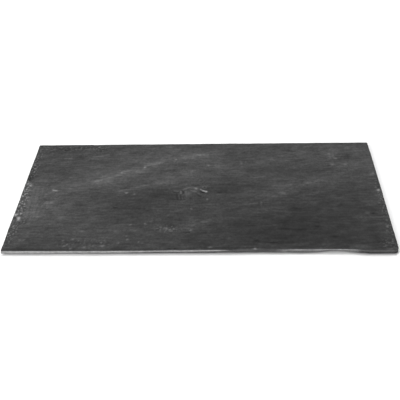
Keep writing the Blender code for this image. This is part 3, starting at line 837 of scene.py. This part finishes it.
def foam_profile(radius, low, high):
    """Return a foam disc's section: flat below, with a soft lip and a slightly hollow side."""
    rise = high - low
    return (
        (radius * 0.30, low + 0.06 * MM),
        (radius * 0.75, low + 0.02 * MM),
        (radius - 0.55 * MM, low),
        (radius - 0.22 * MM, low + 0.05 * MM),
        (radius - 0.06 * MM, low + 0.18 * MM),
        (radius, low + 0.32 * MM),
        (radius - 0.07 * MM, low + rise * 0.5),
        (radius - 0.05 * MM, low + rise * 0.75),
        (radius, high - 0.10 * MM),
        (radius - 0.08 * MM, high),
    )


def film_profile(radius, low, high):
    """Return a film disc's section, with slightly eased edges."""
    inner = radius - 0.04 * MM
    return ((inner, low), (radius, low + 0.04 * MM), (radius, high - 0.04 * MM), (inner, high))


def make_pads(foam, film):
    """Make each pad up to its film disc, and each film disc up to the slab."""
    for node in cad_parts:
        if node == "slab":
            continue
        low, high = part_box(node)
        radius = (high.x - low.x) / 2
        if node.startswith("foot_pad"):
            film_low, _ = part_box(node.replace("foot_pad", "adhesive_disc"))
            profile = foam_profile(radius, low.z, film_low.z - PAD_CLEARANCE)
            finish, material = "pad_foam", foam
        else:
            profile = film_profile(radius, low.z, BOTTOM - PAD_CLEARANCE)
            finish, material = "adhesive_film", film
        disc = make_disc(node + "_detailed", (low + high) / 2, profile)
        disc.data.materials.append(material)
        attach(disc, "root")
        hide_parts(node)


# Materials

STONE_ALBEDO = 0.036
STONE_GLOSS = 0.12
SCUFF_ALBEDO = 0.42
BREAK_ALBEDO = (0.21, 0.38)
FOAM_ALBEDO = 0.022
# How much painted shade darkens the foam's pits
PIT_PAINTED_SHADE = 0.012
FILM_ALBEDO = (0.58, 0.66)
FILM_TINT = (1, 0.94, 0.76)
FLOOR_COLOUR = (0.78, 0.78, 0.78, 1)


class NodeTree:
    """Short ways to build one material's nodes."""

    def __init__(self, name):
        self.material = bpy.data.materials.new(name)
        self.material.use_nodes = True
        self.tree = self.material.node_tree
        self.shader = self.tree.nodes["Principled BSDF"]

    def add(self, kind, inputs=None, **settings):
        """Add a node, set its settings, and set or link its inputs."""
        node = self.tree.nodes.new(kind)
        for name, value in settings.items():
            setattr(node, name, value)
        for name, value in (inputs or {}).items():
            self.put(node.inputs[name], value)
        return node

    def put(self, socket, value):
        if isinstance(value, bpy.types.NodeSocket):
            self.tree.links.new(value, socket)
        else:
            socket.default_value = value

    def math(self, operation, first, second):
        return self.add("ShaderNodeMath", {0: first, 1: second}, operation=operation).outputs[0]

    def times(self, first, second):
        return self.math("MULTIPLY", first, second)

    def attribute(self, name):
        return self.add("ShaderNodeAttribute", attribute_name=name).outputs["Fac"]

    def noise(self, scale, detail=2.0, roughness=0.5, stretch=(1, 1, 1)):
        """Return noise in the piece's own coordinates, with a scale in cycles per metre."""
        place = self.add("ShaderNodeTexCoord").outputs["Object"]
        mapped = self.add("ShaderNodeMapping", {"Vector": place, "Scale": stretch})
        names = ("Vector", "Scale", "Detail", "Roughness")
        inputs = dict(zip(names, (mapped.outputs["Vector"], scale, detail, roughness)))
        return self.add("ShaderNodeTexNoise", inputs).outputs["Fac"]

    def ramp(self, value, low, high, out_low=0.0, out_high=1.0):
        """Map a value's range to another range, held at its ends."""
        names = ("Value", "From Min", "From Max", "To Min", "To Max")
        inputs = dict(zip(names, (value, low, high, out_low, out_high)))
        return self.add("ShaderNodeMapRange", inputs).outputs["Result"]

    def mix(self, share, first, second):
        node = self.add("ShaderNodeMix", data_type="FLOAT")
        self.put(node.inputs[0], share)
        self.put(node.inputs[2], first)
        self.put(node.inputs[3], second)
        return node.outputs[0]

    def colour(self, value, tint=(1, 1, 1)):
        """Set the base colour to a grey value, with each channel times its tint."""
        channels = [value if share == 1 else self.times(value, share) for share in tint]
        node = self.add("ShaderNodeCombineColor", dict(zip(("Red", "Green", "Blue"), channels)))
        self.put(self.shader.inputs["Base Color"], node.outputs["Color"])

    def surface(self, roughness, gloss=0.5):
        self.put(self.shader.inputs["Roughness"], roughness)
        self.shader.inputs["Specular IOR Level"].default_value = gloss

    def bump(self, height, strength, distance):
        inputs = {"Strength": strength, "Distance": distance, "Height": height}
        node = self.add("ShaderNodeBump", inputs)
        self.put(self.shader.inputs["Normal"], node.outputs["Normal"])


def slate_material():
    nodes = NodeTree("slate")
    cloud = nodes.noise(90, 3.0, 0.6)
    crumb = nodes.noise(330, 3.0, 0.6)
    grain = nodes.noise(420, 3.0, 0.6, (0.16, 1, 1))
    fine = nodes.noise(1300, 2.0, 0.6)
    scratch = nodes.noise(420, 3.0, 0.65, (1, 0.05, 1))
    layers = nodes.noise(1500, 3.0, 0.6, (0.05, 0.05, 1))
    # How pale the break is; on the front its low values are painted shade
    paleness_and_shade = nodes.attribute("paleness_and_shade")

    tone = nodes.attribute("tone")
    tone = nodes.times(tone, nodes.ramp(crumb, 0.25, 0.75, 0.72, 1.28))
    tone = nodes.times(tone, nodes.ramp(grain, 0.25, 0.75, 0.72, 1.28))
    tone = nodes.times(tone, nodes.ramp(fine, 0.25, 0.75, 0.80, 1.20))
    brushed = nodes.times(nodes.attribute("brush"), nodes.ramp(scratch, 0.46, 0.62))
    tone = nodes.math("ADD", tone, nodes.times(brushed, 0.6))
    powder = nodes.times(nodes.attribute("scuff"), nodes.ramp(fine, 0.25, 0.6, 0.6, 1.1))
    stone = nodes.mix(powder, nodes.times(tone, STONE_ALBEDO), SCUFF_ALBEDO)
    broken = nodes.ramp(layers, 0.3, 0.7, *BREAK_ALBEDO)
    broken = nodes.times(broken, nodes.ramp(crumb, 0.3, 0.7, 0.82, 1.18))
    nodes.colour(nodes.mix(paleness_and_shade, stone, broken))

    rough = nodes.mix(powder, nodes.ramp(cloud, 0.3, 0.7, 0.56, 0.74), 0.85)
    nodes.surface(nodes.mix(paleness_and_shade, rough, 0.9), STONE_GLOSS)
    height = nodes.math("ADD", nodes.times(fine, 0.35), nodes.times(grain, 0.8))
    nodes.bump(nodes.math("ADD", height, crumb), 0.6, 0.3 * MM)
    return nodes.material


def foam_material():
    nodes = NodeTree("pad_foam")
    pits = nodes.ramp(nodes.noise(2600, 3.0, 0.6), 0.52, 0.68)
    # The pits are darkened as painted shade, and sunk by the bump below
    nodes.colour(nodes.math("SUBTRACT", FOAM_ALBEDO, nodes.times(pits, PIT_PAINTED_SHADE)))
    nodes.surface(0.88, 0.25)
    nodes.bump(nodes.math("SUBTRACT", 1.0, pits), 0.5, 0.15 * MM)
    return nodes.material


def film_material():
    nodes = NodeTree("adhesive_film")
    cloud = nodes.noise(240, 2.0, 0.5)
    nodes.colour(nodes.ramp(cloud, 0.3, 0.7, *FILM_ALBEDO), FILM_TINT)
    nodes.surface(0.45)
    return nodes.material


def floor_material():
    nodes = NodeTree("floor_white")
    nodes.shader.inputs["Base Color"].default_value = FLOOR_COLOUR
    nodes.surface(0.9, 0.0)
    return nodes.material


# Scene

FLOOR_REACH = 6.0
WORLD_STRENGTH = 0.30
# Softboxes: name, place, width, power in watts
SOFTBOXES = (
    ("overhead", (-0.2, 0.3, 1.9), 1.5, 34),
    ("front_left", (-1.1, -0.9, 0.9), 1.0, 26),
    ("back_right", (1.0, 1.3, 1.3), 1.0, 10),
)
CAMERA_PLACE = (28.4 * MM, -648.8 * MM, 480.0 * MM)
CAMERA_TILT = 53.237
CAMERA_YAW = 2.558
CAMERA_ROLL = -1.888
CAMERA_LENS = 65.22
CAMERA_SENSOR = 36.0


def make_floor():
    mesh = bpy.data.meshes.new("floor")
    sides = ((-1, -1), (1, -1), (1, 1), (-1, 1))
    corners = [(side_x * FLOOR_REACH, side_y * FLOOR_REACH, 0) for side_x, side_y in sides]
    mesh.from_pydata(corners, [], [(0, 1, 2, 3)])
    mesh.materials.append(floor_material())
    floor = add_object("floor", mesh)


def add_softbox(name, place, size, power):
    """Add a square area light that faces the slab."""
    lamp = bpy.data.lights.new(name, "AREA")
    lamp.shape = "SQUARE"
    lamp.size = size
    lamp.energy = power
    holder = add_object(name, lamp)
    holder.location = place
    holder.rotation_euler = Vector(place).to_track_quat("Z", "Y").to_euler()


def make_world():
    world = bpy.data.worlds.new("studio")
    world.use_nodes = True
    background = world.node_tree.nodes["Background"]
    background.inputs["Color"].default_value = (1, 1, 1, 1)
    background.inputs["Strength"].default_value = WORLD_STRENGTH
    bpy.context.scene.world = world


def make_camera():
    data = bpy.data.cameras.new("camera")
    data.lens = CAMERA_LENS
    data.sensor_width = CAMERA_SENSOR
    data.clip_start = 0.01
    camera = add_object("camera", data)
    turn = Matrix.Rotation(math.radians(CAMERA_YAW), 4, "Z")
    turn @= Matrix.Rotation(math.radians(CAMERA_TILT), 4, "X")
    turn @= Matrix.Rotation(math.radians(CAMERA_ROLL), 4, "Z")
    camera.matrix_world = Matrix.Translation(CAMERA_PLACE) @ turn
    bpy.context.scene.camera = camera


slab = make_slab()
slab.data.materials.append(slate_material())
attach(slab, "root")
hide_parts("slab")

make_pads(foam_material(), film_material())

make_floor()
make_world()
for softbox in SOFTBOXES:
    add_softbox(*softbox)
make_camera()
bpy.context.scene.view_settings.view_transform = "Standard"
